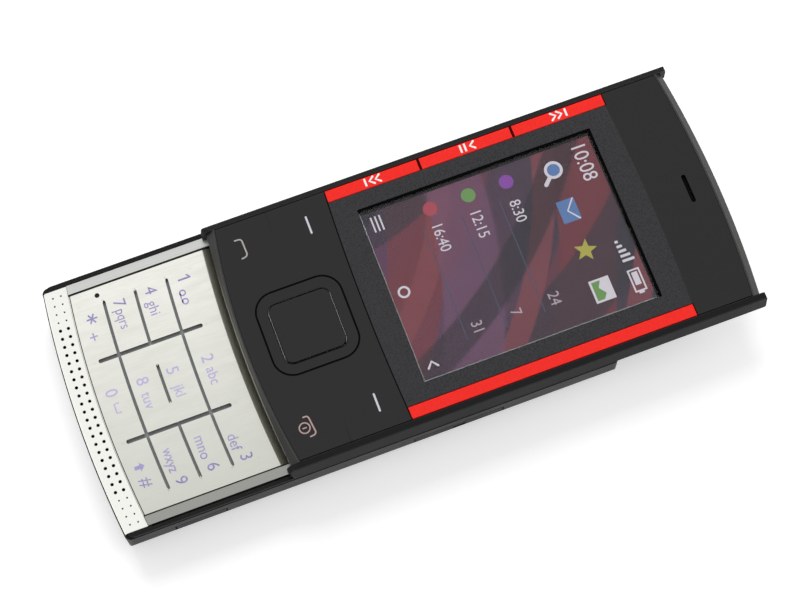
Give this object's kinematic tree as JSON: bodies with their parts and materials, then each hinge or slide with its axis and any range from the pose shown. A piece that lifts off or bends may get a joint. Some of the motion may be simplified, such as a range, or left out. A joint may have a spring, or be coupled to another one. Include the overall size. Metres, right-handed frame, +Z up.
{
  "type": "slider phone",
  "caption": "Slim slider phone lying open: upper half with screen, navigation key and red music keys slides over a brushed metal keypad.",
  "frame": {"origin": "on the surface the phone lies on, under the middle of the open phone", "axes": "+X to the phone's right, +Y towards the earpiece end, +Z up out of the screen"},
  "size_m": [0.0494, 0.1232, 0.0141],
  "materials": {
    "side_frame": "satin dark grey painted plastic",
    "back_cover": "satin dark grey paint",
    "dark_rim": "semi-gloss dark grey",
    "brushed_sheet": "warm bright brushed steel",
    "grille_metal": "bright satin steel",
    "rail_steel": "polished steel",
    "grey_rubber": "matt grey silicone rubber",
    "clear_film": "clear film over metal domes",
    "circuit_board": "green solder mask",
    "tinned_steel": "bright tinned steel",
    "screw_steel": "dark steel",
    "battery_wrap": "plain light grey wrap",
    "black_plastic": "matt black moulding",
    "clear_window": "clear, polished",
    "spring_steel": "spring wire",
    "printed_ribbon": "amber polyimide ribbon",
    "slide_metal": "satin graphite paint",
    "carrier_steel": "stamped steel",
    "cap_metal": "satin grey paint",
    "flake_face": "dark grey gloss with fine flake",
    "face_black": "gloss black",
    "display_panel": "dark display panel",
    "red_gloss": "gloss red",
    "side_key_grey": "satin dark grey paint"
  },
  "bodies": {
    "base": {"lower_frame": "side_frame", "battery_cover": "back_cover", "upper_frame": "dark_rim", "keypad_sheet": "brushed_sheet", "keypad_mat": "grey_rubber", "dome_sheet": "clear_film", "main_board": "circuit_board", "shield_cans": "tinned_steel", "board_screws": "screw_steel", "battery": "battery_wrap", "battery_connector": "black_plastic", "sim_holder": "tinned_steel", "vibration_motor": "tinned_steel", "loudspeaker": "black_plastic", "microphone": "tinned_steel", "camera_module": "black_plastic", "camera_window": "clear_window", "speaker_grille": "grille_metal", "rail_left": "rail_steel", "rail_right": "rail_steel", "end_stops": "black_plastic", "audio_jack": "black_plastic", "usb_socket": "tinned_steel", "slide_spring": "spring_steel", "flex_cable": "printed_ribbon"},
    "slide": {"slide_housing": "slide_metal", "slide_plate": "carrier_steel", "slide_screws": "screw_steel", "end_cap_lower": "cap_metal", "end_cap_upper": "cap_metal", "lens_frame": "flake_face", "display_window": "clear_window", "display_module": "display_panel", "music_trim": "red_gloss", "key_board": "circuit_board", "earpiece": "black_plastic"},
    "nav_ring": {"nav_ring": "face_black"},
    "nav_rocker": {"nav_rocker_plate": "tinned_steel"},
    "volume_rocker": {"volume_rocker": "side_key_grey"},
    "camera_key": {"camera_key": "side_key_grey"},
    "key_1": {"key_1": "brushed_sheet"},
    "key_2": {"key_2": "brushed_sheet"},
    "key_3": {"key_3": "brushed_sheet"},
    "key_4": {"key_4": "brushed_sheet"},
    "key_5": {"key_5": "brushed_sheet"},
    "key_6": {"key_6": "brushed_sheet"},
    "key_7": {"key_7": "brushed_sheet"},
    "key_8": {"key_8": "brushed_sheet"},
    "key_9": {"key_9": "brushed_sheet"},
    "key_star": {"key_star": "brushed_sheet"},
    "key_0": {"key_0": "brushed_sheet"},
    "key_hash": {"key_hash": "brushed_sheet"},
    "soft_key_left": {"soft_key_left": "face_black"},
    "soft_key_right": {"soft_key_right": "face_black"},
    "call_key": {"call_key": "face_black"},
    "end_key": {"end_key": "face_black"},
    "centre_key": {"centre_key": "face_black"},
    "music_key_back": {"music_key_back": "red_gloss"},
    "music_key_play": {"music_key_play": "red_gloss"},
    "music_key_next": {"music_key_next": "red_gloss"}
  },
  "joints": [
    {"name": "slide_open_close", "type": "slide", "parent": "base", "child": "slide", "axis": [0, -1, 0], "range_m": [0, 0.0272], "deforming": ["slide_spring", "flex_cable"]},
    {"name": "press_key_1", "type": "slide", "parent": "base", "child": "key_1", "axis": [0, 0, -1], "range_m": [0, 0.00025], "stiffness_N_per_m": 200},
    {"name": "press_key_2", "type": "slide", "parent": "base", "child": "key_2", "axis": [0, 0, -1], "range_m": [0, 0.00025], "stiffness_N_per_m": 200},
    {"name": "press_key_3", "type": "slide", "parent": "base", "child": "key_3", "axis": [0, 0, -1], "range_m": [0, 0.00025], "stiffness_N_per_m": 200},
    {"name": "press_key_4", "type": "slide", "parent": "base", "child": "key_4", "axis": [0, 0, -1], "range_m": [0, 0.00025], "stiffness_N_per_m": 200},
    {"name": "press_key_5", "type": "slide", "parent": "base", "child": "key_5", "axis": [0, 0, -1], "range_m": [0, 0.00025], "stiffness_N_per_m": 200},
    {"name": "press_key_6", "type": "slide", "parent": "base", "child": "key_6", "axis": [0, 0, -1], "range_m": [0, 0.00025], "stiffness_N_per_m": 200},
    {"name": "press_key_7", "type": "slide", "parent": "base", "child": "key_7", "axis": [0, 0, -1], "range_m": [0, 0.00025], "stiffness_N_per_m": 200},
    {"name": "press_key_8", "type": "slide", "parent": "base", "child": "key_8", "axis": [0, 0, -1], "range_m": [0, 0.00025], "stiffness_N_per_m": 200},
    {"name": "press_key_9", "type": "slide", "parent": "base", "child": "key_9", "axis": [0, 0, -1], "range_m": [0, 0.00025], "stiffness_N_per_m": 200},
    {"name": "press_key_star", "type": "slide", "parent": "base", "child": "key_star", "axis": [0, 0, -1], "range_m": [0, 0.00025], "stiffness_N_per_m": 200},
    {"name": "press_key_0", "type": "slide", "parent": "base", "child": "key_0", "axis": [0, 0, -1], "range_m": [0, 0.00025], "stiffness_N_per_m": 200},
    {"name": "press_key_hash", "type": "slide", "parent": "base", "child": "key_hash", "axis": [0, 0, -1], "range_m": [0, 0.00025], "stiffness_N_per_m": 200},
    {"name": "tilt_volume_rocker", "type": "hinge", "parent": "base", "child": "volume_rocker", "pos_m": [0.02303, 0.00215, 0.006], "axis": [0, 0, 1], "range_deg": [-1.5, 1.5], "stiffness_Nm_per_rad": 0.02},
    {"name": "press_camera_key", "type": "slide", "parent": "base", "child": "camera_key", "axis": [-1, 0, 0], "range_m": [0, 0.0004], "stiffness_N_per_m": 200},
    {"name": "press_soft_key_left", "type": "slide", "parent": "slide", "child": "soft_key_left", "axis": [0, 0, -1], "range_m": [0, 0.00025], "stiffness_N_per_m": 200},
    {"name": "press_soft_key_right", "type": "slide", "parent": "slide", "child": "soft_key_right", "axis": [0, 0, -1], "range_m": [0, 0.00025], "stiffness_N_per_m": 200},
    {"name": "press_call_key", "type": "slide", "parent": "slide", "child": "call_key", "axis": [0, 0, -1], "range_m": [0, 0.00025], "stiffness_N_per_m": 200},
    {"name": "press_end_key", "type": "slide", "parent": "slide", "child": "end_key", "axis": [0, 0, -1], "range_m": [0, 0.00025], "stiffness_N_per_m": 200},
    {"name": "press_centre_key", "type": "slide", "parent": "slide", "child": "centre_key", "axis": [0, 0, -1], "range_m": [0, 0.00025], "stiffness_N_per_m": 200},
    {"name": "press_music_key_back", "type": "slide", "parent": "slide", "child": "music_key_back", "axis": [0, 0, -1], "range_m": [0, 0.00025], "stiffness_N_per_m": 200},
    {"name": "press_music_key_play", "type": "slide", "parent": "slide", "child": "music_key_play", "axis": [0, 0, -1], "range_m": [0, 0.00025], "stiffness_N_per_m": 200},
    {"name": "press_music_key_next", "type": "slide", "parent": "slide", "child": "music_key_next", "axis": [0, 0, -1], "range_m": [0, 0.00025], "stiffness_N_per_m": 200},
    {"name": "tilt_nav_left_right", "type": "hinge", "parent": "slide", "child": "nav_rocker", "pos_m": [0, -0.01744, 0.0131], "axis": [0, 1, 0], "range_deg": [-1.2, 1.2], "stiffness_Nm_per_rad": 0.01},
    {"name": "tilt_nav_up_down", "type": "hinge", "parent": "nav_rocker", "child": "nav_ring", "pos_m": [0, -0.01744, 0.0131], "axis": [1, 0, 0], "range_deg": [-1.2, 1.2], "stiffness_Nm_per_rad": 0.01}
  ]
}
